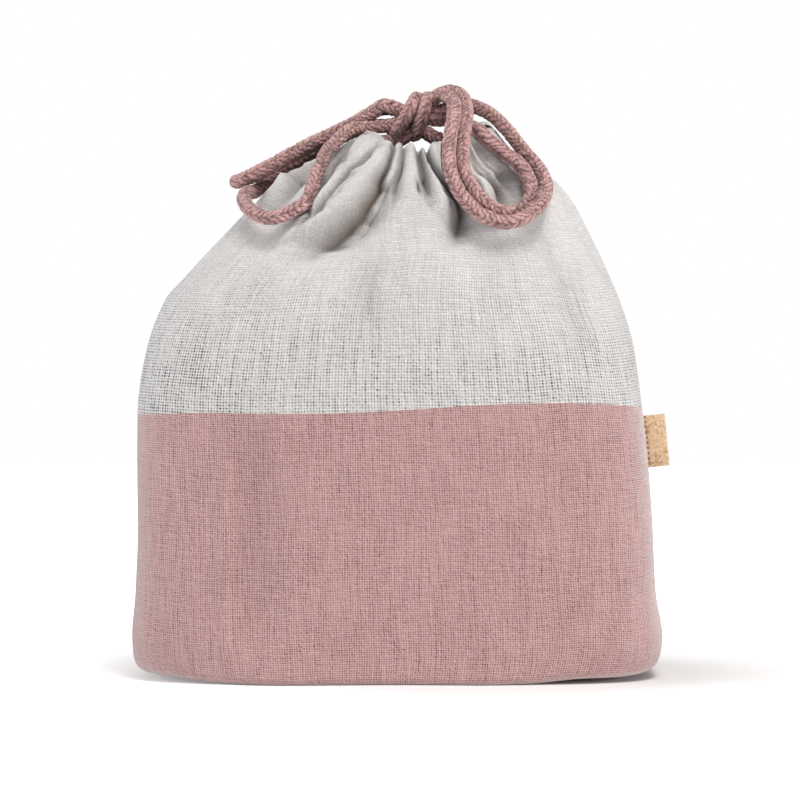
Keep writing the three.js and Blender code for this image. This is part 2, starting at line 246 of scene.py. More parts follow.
def bumpTo(tree, shader, height, strength, distance):
    bump = tree.nodes.new("ShaderNodeBump")
    bump.inputs["Strength"].default_value = strength
    bump.inputs["Distance"].default_value = distance
    tree.links.new(height, bump.inputs["Height"])
    tree.links.new(bump.outputs[0], shader.inputs["Normal"])


# braided cord
cordFinish = {
    "yarn": fromScreen(189, 148, 145), "grooveShade": fromScreen(46, 23, 23), "lit": fromScreen(226, 192, 188),
    "fibres": 1900, "specks": 1250, "mottle": 420, "roughness": 0.9, "sheen": 0.2, "gloss": 0.2, "bump": 0.8,
}


def cordMaterial(name, finish):
    material, tree, shader = startMaterial(name)
    strand = tree.nodes.new("ShaderNodeAttribute")
    strand.attribute_name = "strandHeight"
    place = tree.nodes.new("ShaderNodeTexCoord").outputs["Object"]
    fibres = noiseNode(tree, place, finish["fibres"], 2)
    mottle = noiseNode(tree, place, finish["mottle"], 2)
    # painted shade in the grooves between the stitches and painted highlight on the raised fibres, both from
    # the strand height
    depth = rangeNode(tree, strand.outputs["Fac"], 0.1, 0.7)
    colour = mixColour(tree, depth, finish["grooveShade"], finish["yarn"])
    bright = times(tree, rangeNode(tree, fibres, 0.48, 0.75), depth)
    colour = mixColour(tree, times(tree, bright, 0.7), colour, finish["lit"])
    # small dark specks, in the same colour as the painted groove shade
    specks = rangeNode(tree, noiseNode(tree, place, finish["specks"], 2, 0.7), 0.5, 0.68, 0.0, 0.5)
    colour = mixColour(tree, specks, colour, finish["grooveShade"])
    colour = brighten(tree, colour, rangeNode(tree, mottle, 0.3, 0.7, 0.8, 1.25))
    tree.links.new(colour, shader.inputs["Base Color"])
    shader.inputs["Roughness"].default_value = finish["roughness"]
    shader.inputs["Sheen Weight"].default_value = finish["sheen"]
    shader.inputs["Specular IOR Level"].default_value = finish["gloss"]
    bumpTo(tree, shader, fibres, finish["bump"], 0.4 * mm)
    return material


roseCord = cordMaterial("roseBraid", cordFinish)

braid = {
    "diameter": 5.4, "sides": 40, "ringStep": 0.28, "strands": 6, "columns": 4, "pitch": 2.5,
    "core": 2.2, "relief": 0.66, "rough": 0.14, "stitches": 400,
}


def strandHeights(around, along, rng):
    # columns of slanting stitches, each column leaning the other way from the next
    loose = (0.5 * np.sin(along / 3.1 + 2 * around) + 0.4 * np.sin(along / 1.7 - around)
             + 0.3 * np.sin(along * 1.9 + 5 * around))
    turned = braid["strands"] * around / (2 * math.pi)
    a = turned + (along + loose) / braid["pitch"]
    b = turned - (along - loose) / braid["pitch"]
    column = np.clip(1.6 * np.sin(braid["columns"] / 2 * around + 0.25 * np.sin(along / 5)), -1, 1)
    count = braid["stitches"]
    uneven = rng.uniform(0.6, 1, (count, count))
    first = np.sqrt(np.abs(np.sin(math.pi * a))) * (0.55 + 0.45 * column)
    second = np.sqrt(np.abs(np.sin(math.pi * b))) * (0.55 - 0.45 * column)
    first = first * uneven[np.floor(a).astype(int) % count, 7]
    second = second * uneven[np.floor(b).astype(int) % count, 11]
    return np.maximum(first, second)


def braidedCord(name, points):
    line = smoothRoute(points, braid["ringStep"])
    tangent = np.gradient(line, axis=0)
    tangent /= np.linalg.norm(tangent, axis=1)[:, None]
    side = np.cross(tangent[0], (0.31, 0.17, 0.93))
    sides = []
    for direction in tangent:
        side = side - direction * np.dot(side, direction)
        side /= np.linalg.norm(side)
        sides.append(side)
    sides = np.array(sides)
    other = np.cross(tangent, sides)
    count = braid["sides"]
    around = np.arange(count) / count * 2 * math.pi
    along = np.arange(len(line)) * np.linalg.norm(line[1] - line[0])
    rng = np.random.default_rng(sum(map(ord, name)))
    height = strandHeights(around[None, :], along[:, None], rng)
    radius = braid["core"] + braid["relief"] * height + braid["rough"] * rng.uniform(-1, 1, height.shape)
    ends = np.minimum(along, along[-1] - along) / braid["core"]
    radius *= np.sqrt(np.clip(1 - (1 - np.clip(ends, 0, 1)) ** 2, 0.02, 1))[:, None]
    ring = (np.cos(around)[None, :, None] * sides[:, None, :]
            + np.sin(around)[None, :, None] * other[:, None, :])
    points = (line[:, None, :] + radius[..., None] * ring).reshape(-1, 3)
    faces = []
    for i in range(len(line) - 1):
        for j in range(count):
            k = (j + 1) % count
            faces.append((i * count + j, i * count + k, (i + 1) * count + k, (i + 1) * count + j))
    faces.append(tuple(reversed(range(count))))
    faces.append(tuple((len(line) - 1) * count + j for j in range(count)))
    piece = newPiece(name, points, faces, roseCord)
    pointAttribute(piece, "strandHeight", height)
    return piece, line


# bow loops, from the knot round to the knot
loopRoutes = {
    "rightOuterLoop": [
        (13.2, -4.4, 219.4), (16.6, -5.6, 221.6), (19.8, -9.4, 221), (21.5, -15, 218), (21.8, -20.6, 214.2),
        (21.3, -25.8, 210), (20.4, -29.8, 205.6), (19.7, -32.8, 199.6), (19.6, -36.8, 194.3),
        (20.2, -40, 189.8), (22, -42.6, 184.6), (25.4, -44.8, 179), (30, -46.6, 174.5), (35.8, -47.8, 171.3),
        (41.5, -47.8, 170.6), (47, -46.2, 172.5), (51.4, -43.2, 175.6), (54.5, -39, 179.4),
        (55.9, -33.8, 183.6), (55.4, -28, 188.4), (52.8, -22.6, 193.6), (48.6, -18.6, 198.8),
        (45.2, -15.4, 203.6), (41.6, -12.4, 208.4), (37.6, -7.8, 213), (33.2, -3.2, 216.3), (28, 1, 218.6),
        (21.5, 3.4, 218.2), (15.8, 4.2, 216.4),
    ],
    "rightInnerLoop": [
        (14, 1.2, 221.2), (18.8, 0.6, 223.6), (22.8, -2, 223.2), (25.2, -6.2, 220.8), (26.4, -10.8, 217.4),
        (26.5, -15.6, 214), (26.4, -20.4, 210.4), (25.7, -24.2, 206.5), (25.3, -27.6, 202.4),
        (25, -30.8, 197.6), (24.9, -33.8, 194), (25.3, -36.4, 190.2), (26.7, -38.8, 186.6),
        (28.9, -41.3, 182.7), (32.2, -42.9, 178.9), (36, -43.2, 175.9), (40.4, -42.2, 174.5),
        (44.8, -40.5, 174.9), (48.3, -37.7, 177.6), (50, -35.2, 181.6), (49.9, -32.8, 185.8),
        (48.2, -29.5, 190.6), (45.6, -28, 194.1), (41.5, -26.4, 197.4), (37.4, -25, 200.8),
        (34, -23.9, 203.7), (31.7, -19.8, 206.6), (28.8, -13.2, 208.8), (24.6, -7.8, 211.1),
        (19.6, -4, 212.6), (14.8, -2.8, 212.6),
    ],
    "leftOuterLoop": [
        (-1.2, -4, 217.3), (-5, -3.6, 218), (-9, -1.4, 215.6), (-13, 0, 213.6), (-16.5, 0.7, 211.6),
        (-20, 0.6, 209.8), (-25.5, -0.6, 207), (-33, -2.4, 203.3), (-40.8, -3.8, 199), (-48.5, -4.4, 194.8),
        (-56, -3.9, 191), (-60.4, -2.6, 189.2), (-61.8, 0.3, 189), (-60.4, 3, 189.5), (-56, 3.7, 191.2),
        (-48.5, 3.2, 194.8), (-40.8, 3.2, 199), (-33, 3.8, 203.3), (-25.5, 5.2, 207), (-20, 6.3, 209.8),
        (-16.5, 6.4, 211.6), (-13, 5.8, 213.6), (-9, 4.4, 216.4), (-5.5, 3.5, 217.4), (-2.4, 3.1, 217.6),
    ],
    "leftInnerLoop": [
        (-0.2, 3.2, 211), (-4, 5.8, 211), (-8.5, 10.2, 211.4), (-13, 12.8, 210.9), (-18.5, 13.6, 208.8),
        (-25, 13, 205.6), (-32, 12.2, 201.8), (-39, 11.8, 197.6), (-45.5, 11.8, 194), (-50, 11, 190.1),
        (-53.8, 7, 186.4), (-55.6, 0, 185), (-57.1, -8, 184.1), (-57.9, -16, 182.2), (-57.4, -23, 179.9),
        (-55.8, -28.2, 177.3), (-53.6, -32.8, 175.4), (-50.2, -37.8, 173.4), (-46.2, -40.4, 172.6),
        (-41.4, -41, 173.9), (-36.6, -40.4, 176.4), (-33, -38.8, 179.4), (-31.5, -36.2, 183.3),
        (-30.2, -32.3, 188.4), (-28.2, -26.4, 194), (-26.4, -19.2, 198.6), (-23.6, -13.8, 202.6),
        (-19.6, -8.6, 206.9), (-15.4, -4.9, 209.2), (-11, -3.3, 209.4), (-6, -3, 210), (0.4, -3, 211.2),
    ],
}

# gathered neck, shared by the cloth and by the cords that run in its casing
neck = {
    "offset": 12, "width": 55, "depth": 47, "rim": 205.3, "dip": 4.5, "lean": math.radians(42),
    "casing": 14.4, "deep": 8.6, "cordDeep": 4.6, "slit": math.radians(19.9),
    "leftCordAlong": 4.3, "rightCordAlong": 10.1, "exit": 0.72,
}


def mouthWave(angle):
    return neck["dip"] * np.cos(2 * angle)


def casingPoint(angle, along, deep):
    grow = along * math.sin(neck["lean"]) - deep * math.cos(neck["lean"])
    return np.column_stack([
        neck["offset"] + (neck["width"] / 2 + grow) * np.cos(angle),
        (neck["depth"] / 2 + grow) * np.sin(angle),
        neck["rim"] + mouthWave(angle) - along * math.cos(neck["lean"]) - deep * math.sin(neck["lean"]),
    ])


def casingRun(along, start, end):
    return casingPoint(np.linspace(start, end, 25), along, neck["cordDeep"])


# cords in the casing, each from the middle of its turn at one slit to the other slit
slitEnd = neck["slit"] * neck["exit"]
casingCords = {
    "leftCordFront": {"along": "leftCordAlong", "start": 0, "end": -math.pi + slitEnd,
                      "nodes": ("left_cord_in_front_casing", "left_cord_turn"), "mouth": "front_mouth"},
    "leftCordBack": {"along": "leftCordAlong", "start": 0, "end": math.pi - slitEnd,
                     "nodes": ("left_cord_in_back_casing",), "mouth": "back_mouth"},
    "rightCordFront": {"along": "rightCordAlong", "start": -math.pi, "end": -slitEnd,
                       "nodes": ("right_cord_in_front_casing", "right_cord_turn"), "mouth": "front_mouth"},
    "rightCordBack": {"along": "rightCordAlong", "start": math.pi, "end": slitEnd,
                      "nodes": ("right_cord_in_back_casing",), "mouth": "back_mouth"},
}
leads = {
    "leftFrontLead": {"cord": "leftCordFront", "route": [
        (-11, -3.3, 203.6), (-5, -3, 204.2), (1.6, -3, 205.4), (6, -2.5, 209)]},
    "leftBackLead": {"cord": "leftCordBack", "route": [
        (-11, 3.3, 203.6), (-5, 3, 204.2), (1.6, 3, 205.4), (6, 2.5, 209)]},
    "rightFrontLead": {"cord": "rightCordFront", "route": [
        (37.5, -3.3, 197.2), (30, -3, 199.5), (22, -3, 203.5), (14.2, -3, 206), (9, -2.5, 209.5)]},
    "rightBackLead": {"cord": "rightCordBack", "route": [
        (37.5, 3.3, 197.2), (30, 3, 199.5), (22, 3, 203.5), (14.6, 3, 206), (9, 2.5, 209.5)]},
}
knot = {"centre": (7, -1, 214), "radius": 7, "turns": 2, "pitch": 5.9, "slant": 0.55, "steps": 60}
# where the strands go on, hidden inside the knot
knotHeart = {"left": (5.5, -1, 214.5), "right": (9, -1, 215)}


def mouthBlend(piece):
    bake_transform(piece)


def nodeOf(name):
    # name of the CAD node that a cord's piece stands for
    return "".join(f"_{letter.lower()}" if letter.isupper() else letter for letter in name)


def knotRoute():
    share = np.linspace(0, 1, knot["steps"])
    angle = share * knot["turns"] * 2 * math.pi
    rise = knot["radius"] * np.sin(angle)
    x, y, z = knot["centre"]
    return np.column_stack([
        x - (share - 0.5) * knot["turns"] * knot["pitch"] + rise * (knot["slant"] * share),
        y + knot["radius"] * np.cos(angle),
        z + rise,
    ])


knotPiece, _ = braidedCord("bowKnot", knotRoute())
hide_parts("bow_knot")
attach(knotPiece, "front_mouth")

bowPoints = []
for name, route in loopRoutes.items():
    hand = "left" if name.startswith("left") else "right"
    piece, line = braidedCord(name, [knotHeart[hand], *route, knotHeart[hand]])
    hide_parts(nodeOf(name))
    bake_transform(piece)
    bowPoints.extend(line[::3])

leadPieces = {}
for name, lead in leads.items():
    run = casingCords[lead["cord"]]
    exits = casingPoint(np.array([run["end"]]), neck[run["along"]], neck["cordDeep"])
    piece, line = braidedCord(name, np.vstack([exits, np.array(lead["route"], float)]))
    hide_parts(nodeOf(name))
    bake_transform(piece)
    leadPieces.setdefault(lead["cord"], []).append(piece)

for name, run in casingCords.items():
    piece, line = braidedCord(name, casingRun(neck[run["along"]], run["start"], run["end"]))
    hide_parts(*run["nodes"])
    mouthBlend(piece)
print("cords laid")


# cloth finishes
roseFinish = {
    "yarn": fromScreen(166, 126, 124), "gap": fromScreen(84, 46, 46), "slub": fromScreen(213, 181, 179),
    "shadow": fromScreen(120, 100, 95), "pitch": (0.86, 0.84), "rows": (0.9, 1.45), "patches": (0.9, 1.08),
    "closing": (150, 200), "drawn": 1, "loose": 1, "crownHighlight": 0.3, "sheen": 0.9, "bump": 0.5,
}
naturalFinish = {
    "yarn": fromScreen(180, 177, 176), "gap": fromScreen(60, 60, 63), "slub": fromScreen(228, 226, 225),
    "shadow": fromScreen(132, 119, 109), "pitch": (1.12, 1.1), "rows": (0.6, 1.4), "patches": (0.86, 1.1),
    "closing": (116, 168), "drawn": 0.22, "loose": 1.8, "crownHighlight": 0.42, "sheen": 0.15, "bump": 0.55,
}
# what both cloths share
weave = {
    "warpStretch": 0.07, "weftStretch": 0.11, "wander": 0.7, "lift": 0.5, "rowSpread": 0.77,
    "rowStretch": 0.04, "patchScale": 38, "opening": (0.45, 1.6), "looseSide": (-125, -30), "speckle": 0.16,
    "slubs": (0.08, 0.75), "clouds": 60, "fibres": 2600, "roughness": 0.92, "gloss": 0.2,
    "sheenRoughness": 0.45,
}


def weaveHeight(tree, across, up):
    # plain weave: each yarn passes over one and under the next, with a hole between four yarns
    warpWave, weftWave = [mathNode(tree, "SINE", times(tree, value, math.pi)) for value in (across, up)]
    warpRound, weftRound = [mathNode(tree, "ABSOLUTE", value) for value in (warpWave, weftWave)]
    warpTurn = times(tree, mathNode(tree, "SIGN", warpWave), weftWave)
    weftTurn = times(tree, mathNode(tree, "SIGN", weftWave), warpWave)
    warpOver = mathNode(tree, "MULTIPLY_ADD", warpTurn, 0.5, 0.5)
    weftOver = mathNode(tree, "MULTIPLY_ADD", weftTurn, -0.5, 0.5)
    warp = times(tree, mathNode(tree, "POWER", warpRound, 0.5), warpOver)
    weft = times(tree, mathNode(tree, "POWER", weftRound, 0.5), weftOver)
    over = mathNode(tree, "GREATER_THAN", warp, weft)
    holeAcross = mathNode(tree, "POWER", fromOne(tree, warpRound), 0.8)
    holeUp = mathNode(tree, "POWER", fromOne(tree, times(tree, weftRound, 0.85)), 1.2)
    return mathNode(tree, "MAXIMUM", warp, weft), over, times(tree, holeAcross, holeUp)


def yarnTones(tree, across, up):
    # uneven hand of the yarns, along each yarn
    warpPlace = pairNode(tree, across, times(tree, up, weave["warpStretch"]))
    weftPlace = pairNode(tree, times(tree, across, weave["weftStretch"]), up)
    return [noiseNode(tree, place, 1, 2, 0.6, True) for place in (warpPlace, weftPlace)]


def strayed(tree, value, tone, amount):
    # yarns that wander to both sides of their even place
    return mathNode(tree, "MULTIPLY_ADD", tone, amount, mathNode(tree, "SUBTRACT", value, amount / 2))


def openHoles(tree, finish, flat, wander, lift, up):
    # some rows of holes are open and others are closed
    column = mathNode(tree, "FLOOR", mathNode(tree, "ADD", wander, 0.5))
    columns = pairNode(tree, times(tree, column, weave["rowSpread"]), times(tree, up, weave["rowStretch"]))
    openRows = rangeNode(tree, noiseNode(tree, columns, 1, 1, 0.5, True), 0.34, 0.66, *finish["rows"])
    clumps = noiseNode(tree, flat, weave["patchScale"], 2, 0.5, True)
    patches = rangeNode(tree, clumps, 0.36, 0.64, *finish["patches"])
    opening = rangeNode(tree, cellNoise(tree, wander, lift, 0.5), 0, 1, *weave["opening"])
    return opening, times(tree, openRows, patches)


def clothMaterial(name, finish):
    material, tree, shader = startMaterial(name)
    flat = tree.nodes.new("ShaderNodeUVMap")
    flat.uv_map = "weave"
    split = tree.nodes.new("ShaderNodeSeparateXYZ")
    tree.links.new(flat.outputs[0], split.inputs[0])
    across, up = [times(tree, split.outputs[k], 1 / (finish["pitch"][k] * mm)) for k in range(2)]
    warpTone, weftTone = yarnTones(tree, across, up)
    wander = strayed(tree, across, warpTone, weave["wander"])
    lift = strayed(tree, up, weftTone, weave["lift"])
    height, over, hole = weaveHeight(tree, wander, lift)
    tone = mathNode(tree, "ADD", times(tree, warpTone, over), times(tree, weftTone, fromOne(tree, over)))
    tone = mathNode(tree, "MULTIPLY_ADD", cellNoise(tree, wander, lift, 0.0), weave["speckle"],
                    times(tree, tone, 1 - weave["speckle"]))
    slubs = rangeNode(tree, tone, 0.36, 0.8, *weave["slubs"])
    colour = mixColour(tree, slubs, finish["yarn"], finish["slub"])
    # painted highlight: the crowns of the yarns are mixed towards the pale slub colour
    crownHighlight = rangeNode(tree, height, 0.35, 1.0, 0.0, finish["crownHighlight"])
    colour = mixColour(tree, crownHighlight, colour, finish["slub"])
    # the holes, painted in shade, close towards the gathers and are wider at the loose side
    opening, rows = openHoles(tree, finish, flat.outputs[0], wander, lift, up)
    dark = times(tree, times(tree, hole, opening), rows, clamp=True)
    drawn = rangeNode(tree, split.outputs[1], *inMetres(finish["closing"]), 1.0, finish["drawn"])
    loose = rangeNode(tree, split.outputs[0], *inMetres(weave["looseSide"]), finish["loose"], 1.0)
    dark = times(tree, dark, times(tree, drawn, loose), clamp=True)
    # painted shade in the holes between the yarns
    colour = mixColour(tree, dark, colour, finish["gap"])
    place = tree.nodes.new("ShaderNodeTexCoord").outputs["Object"]
    cloudy = rangeNode(tree, noiseNode(tree, place, weave["clouds"], 3), 0.3, 0.7, 0.97, 1.03)
    # painted shade: the colour is darkened towards the shadow colour where the crease shade on the points is
    # high
    creaseShade = tree.nodes.new("ShaderNodeAttribute")
    creaseShade.attribute_name = "creaseShade"
    colour = brighten(tree, colour, cloudy)
    colour = mixColour(tree, creaseShade.outputs["Fac"], colour, finish["shadow"], "MULTIPLY")
    tree.links.new(colour, shader.inputs["Base Color"])
    shader.inputs["Roughness"].default_value = weave["roughness"]
    shader.inputs["Specular IOR Level"].default_value = weave["gloss"]
    shader.inputs["Sheen Weight"].default_value = finish["sheen"]
    shader.inputs["Sheen Roughness"].default_value = weave["sheenRoughness"]
    fibres = noiseNode(tree, place, weave["fibres"], 1)
    bumpTo(tree, shader, mathNode(tree, "MULTIPLY_ADD", fibres, 0.4, height), finish["bump"], 0.4 * mm)
    return material


roseCloth = clothMaterial("roseWeave", roseFinish)
naturalCloth = clothMaterial("naturalWeave", naturalFinish)

# cross-sections of the filled bag, from the base up to the hem of the casing
sectionSizes = ("height", "left", "right", "depth", "boxy")
bagSections = np.array([
    (0, 98.3, 98.5, 103.5, 3.6),
    (6, 100.3, 100.5, 104, 3.7),
    (14, 100.9, 101.4, 104.6, 3.8),
    (33, 99.1, 99, 105.6, 4),
    (55, 98.1, 97.8, 106, 4.1),
    (80, 98.5, 95.6, 106, 4.1),
    (101, 98.2, 93.3, 106, 4),
    (125, 94.7, 90.5, 104, 3.6),
    (143, 88.5, 85.3, 100, 3.1),
    (153, 79.4, 80.6, 96.5, 2.85),
    (164, 67.8, 74.6, 91, 2.6),
    (176, 55, 67.4, 83, 2.4),
    (186, 42, 59, 75, 2.2),
    (194.4, 30, 49.2, 66.4, 2),
], float)
bagCloth = {
    "columns": 280, "crowd": 0.36, "thick": 0.7, "sharp": math.radians(62), "cutWidth": 296,
    "bottomRadius": 3, "line": 101, "lineFade": 21, "shoulder": 143, "slitStart": 185, "hem": 194.4,
    "leftFlare": 4.9, "lip": 5,
}
# lift of the rim along X, front and back
rimLift = {
    -1: [(-24, -1), (-16, -2.8), (-13, -1.2), (-9.2, 0.5), (-6, -0.6), (-2.8, -3), (0.6, -3.8), (8, -3.4),
         (14, -3), (18, -2.4), (30, 0.4), (42, 0)],
    1: [(-18, 0), (4, 0.4), (18, 2), (29, 7), (36, 4), (42, 0)],
}
# lift of the colour line along X, front and back
lineLift = {
    -1: [(-92, -1.4), (-70, -0.6), (-50, -1.1), (-26, -0.95), (-10, -0.4), (7, 0.5), (23, 1.7), (40, 2.5),
         (56, 2.9), (73, 2.6), (84, 1.9), (93, 1.2)],
    1: [(-92, -1.4), (-30, -0.8), (40, 0.4), (93, 1.2)],
}
# lift of the bottom edge along X, and how far it stands out at the front
edgeLift = [
    (-97, 2.7), (-90, 2.4), (-83, 2.1), (-79, 1.7), (-72, 1), (-62, 0.4), (-50, 0), (40, 0), (52, 0.4),
    (60, 1.3), (68, 1.9), (82, 1.9), (90, 2.3), (94, 2.9), (98, 3.4),
]
edgeOut = [(-90, 0), (-66, 1), (-45, 3.5), (-24, 0.8), (0, -1), (16, 0), (32, 1.6), (50, 0), (90, 0)]
# places of the columns, closer together towards the middle where the folds are
evenShares = np.linspace(0, 1, bagCloth["columns"] + 1)
clothShares = evenShares + bagCloth["crowd"] * np.sin(2 * math.pi * evenShares) / (2 * math.pi)


def halfSection(half, depth, boxy, shares):
    # even steps along half a rounded section, from the left side round the front to the right side
    t = np.linspace(0, math.pi / 2, 400)
    x = np.cos(t) ** (2 / boxy) * half
    y = np.sin(t) ** (2 / boxy) * depth
    reach = np.concatenate([[0], np.cumsum(np.hypot(np.diff(x), np.diff(y)))])
    reach /= reach[-1]
    fold = 1 - np.abs(2 * shares - 1)
    outX = np.interp(fold, reach, x) * np.sign(shares - 0.5)
    return outX, np.interp(fold, reach, y)


def softLift(table, x):
    # rounded line through a table of lifts
    return np.mean([np.interp(x + step, *zip(*table)) for step in np.linspace(-2.5, 2.5, 7)], axis=0)


def sheetRows(rows, way):
    # rows of the smooth sheet, way -1 for the front and +1 for the back
    out = []
    for row in rows:
        cut = row.get("slit", 0) * neck["slit"] / math.pi
        spread = cut + clothShares * (1 - 2 * cut)
        x, y = halfSection(row["half"], row["depth"], row["boxy"], spread)
        angle = math.pi * (1 + spread)
        x = row["centre"] + x
        z = row["height"] + row["wave"] * mouthWave(angle) + row.get("line", 0) * softLift(lineLift[way], x)
        z += row.get("lip", 0) * softLift(rimLift[way], x)
        out.append(np.column_stack([x, way * y, z]))
    return np.array(out)


def wallRow(height, **more):
    size = {name: float(smoothTable(bagSections[:, 0], bagSections[:, k], height))
            for k, name in enumerate(sectionSizes)}

    def shareFrom(start):
        return float(smoothStep((height - bagCloth[start]) / (bagCloth["hem"] - bagCloth[start])))
    return {"height": height, "half": (size["left"] + size["right"]) / 2,
            "centre": (size["right"] - size["left"]) / 2, "depth": size["depth"] / 2, "boxy": size["boxy"],
            "wave": shareFrom("shoulder"), "slit": shareFrom("slitStart"), **more}


def casingRow(along, deep):
    grow = along * math.sin(neck["lean"]) - deep * math.cos(neck["lean"])
    flare = bagCloth["leftFlare"] * max(along, 0) / neck["casing"]
    return {"height": neck["rim"] - along * math.cos(neck["lean"]) - deep * math.sin(neck["lean"]),
            "half": neck["width"] / 2 + grow + flare / 2, "centre": neck["offset"] - flare / 2,
            "depth": neck["depth"] / 2 + grow, "boxy": 2, "wave": 1, "slit": 1,
            "lip": float(smoothStep(1 - along / bagCloth["lip"]))}


def normalsOf(grid, way):
    across = np.gradient(grid, axis=1)
    up = np.gradient(grid, axis=0)
    normal = np.cross(across, up) * -way
    return normal / np.maximum(np.linalg.norm(normal, axis=2), 1e-9)[..., None]


def weaveMap(piece, flat):
    # the flat cloth's places, which the weave follows
    layer = piece.data.uv_layers.new(name="weave")
    corners = np.empty(len(piece.data.loops), int)
    piece.data.loops.foreach_get("vertex_index", corners)
    layer.data.foreach_set("uv", (flat * mm)[corners].astype(np.float32).ravel())


def thicken(piece):
    solid = piece.modifiers.new("thickness", "SOLIDIFY")
    solid.thickness = bagCloth["thick"] * mm
    solid.offset = -1
    applyModifiers(piece)
    piece.data.set_sharp_from_angle(angle=bagCloth["sharp"])


def clothSheet(name, grid, material, startUp, way, shade=None):
    rows, columns = grid.shape[:2]
    index = np.arange(rows * columns).reshape(rows, columns)
    quads = np.stack([index[:-1, :-1], index[:-1, 1:], index[1:, 1:], index[1:, :-1]], axis=-1).reshape(-1, 4)
    if way > 0:
        quads = quads[:, ::-1]
    piece = newPiece(name, grid.reshape(-1, 3), quads.tolist(), material)
    # the yarns run from edge to edge and crowd together where the cloth is gathered
    up = startUp + runLength(grid, 0)
    across = runLength(grid, 1)
    across = (across / across[:, -1:] - 0.5) * across[0, -1]
    weaveMap(piece, np.stack([across, up], axis=-1).reshape(-1, 2))
    # painted shade of the folds and hollows, kept on the points for the cloth's colour
    if shade is not None:
        pointAttribute(piece, "creaseShade", shade)
    thicken(piece)
    return piece, up[-1]


# creases of the front from the rim down, each point (x, z, depth, width)
frontCreases = [
    [(-5, 166, 0.2, 6), (-8.5, 152, 1.1, 7.5), (-10.5, 138, 1.2, 9), (-11, 122, 0.2, 11)],
    [(52, 172, 0.2, 6), (61, 152, 1, 7), (66, 138, 1, 8), (68, 122, 0.2, 10)],
    [(-33.2, 193.5, 3, 4), (-37.2, 188.6, 4, 5), (-41.1, 184.4, 3, 5), (-44.3, 179.1, 1.2, 6)],
    [(-16, 205.2, 1.2, 2), (-19.8, 199.3, 3, 3), (-22.9, 195, 4.4, 3.4), (-25.8, 190.1, 4.6, 3.2),
     (-29.3, 183.5, 4, 2.2), (-31.8, 171.8, 2.4, 1.8), (-35.8, 166.1, 1, 2)],
    [(-3.2, 198.6, 0.5, 1), (-6.1, 195.8, 1.4, 1), (-9.6, 192.3, 2, 1), (-13.6, 187.8, 2.4, 1),
     (-17.5, 183.8, 2.4, 1), (-21.1, 179.8, 2.2, 1.1), (-25.3, 175.5, 2, 1.2), (-29.5, 170.5, 1.4, 1.5),
     (-33.9, 166.4, 0.5, 2)],
    [(-0.7, 203.2, 2.2, 1.2), (-1.5, 195.1, 3.4, 1.3), (-2.9, 189.9, 4.6, 1.6), (-5.2, 185.6, 6, 2.2),
     (-6.5, 182.3, 7, 2.8), (-9.2, 177.9, 6.6, 3.6), (-13, 172, 6.2, 4.6), (-18, 167.6, 5.8, 5.4),
     (-24, 163.6, 4.4, 6.4), (-30.5, 160.4, 2, 7.5)],
    [(2.8, 200, 1.4, 0.9), (2.6, 194.3, 2, 1), (2.1, 189.8, 2.4, 1), (0.9, 186.3, 2.6, 1.2),
     (-0.6, 181.6, 2.2, 1.6), (-1.2, 177.6, 0.8, 2.5)],
    [(7.5, 186, 0.6, 0.8), (7.7, 184.5, 2.2, 1), (8.2, 182.7, 3, 1.2), (8.8, 179.7, 0.8, 2)],
    [(7.9, 207.2, 3, 1), (8.2, 196.3, 4.4, 1.1), (9.1, 191.2, 4.8, 1.3), (10.1, 186.8, 4.4, 1.6),
     (11.7, 180.7, 3, 2.4), (12.9, 177, 1, 3.5)],
    [(11, 203.9, 2.4, 0.9), (11.8, 195, 3.6, 1), (13.9, 189.8, 4.2, 1.2), (16.9, 186, 4.8, 1.4),
     (20.1, 182.5, 5.2, 1.7), (23, 179.6, 5.8, 2.2), (24.3, 175.7, 6, 3.2), (23.6, 171.6, 4.6, 4.5),
     (21.4, 166, 2.2, 7)],
    [(20.8, 200.1, 2.4, 1.3), (22.4, 192.6, 4, 1.5), (25.4, 186.9, 4.8, 1.8), (29.4, 181.4, 4.2, 2.4),
     (34.2, 176, 1.8, 4)],
    [(25.6, 201, 2, 1.3), (27.9, 196.5, 3, 1.6), (30, 192.4, 4.4, 2), (33, 189.6, 5.6, 2.6),
     (37.3, 187.4, 6, 3.2), (39.6, 181.4, 4.4, 4.5), (40.6, 175.3, 1.8, 6)],
    [(28.2, 202.6, 2, 1.3), (31.7, 197.1, 4, 1.8), (35, 193.2, 4.4, 2.2), (38.7, 191.1, 4.4, 2.6),
     (42, 186.8, 3.4, 3.5), (44.5, 180.6, 1.5, 5)],
    [(33.6, 205.4, 2, 1.4), (39.7, 199.6, 3.2, 1.8), (45.1, 193.8, 3.4, 2.4), (50.4, 184.9, 1.8, 4.5)],
]
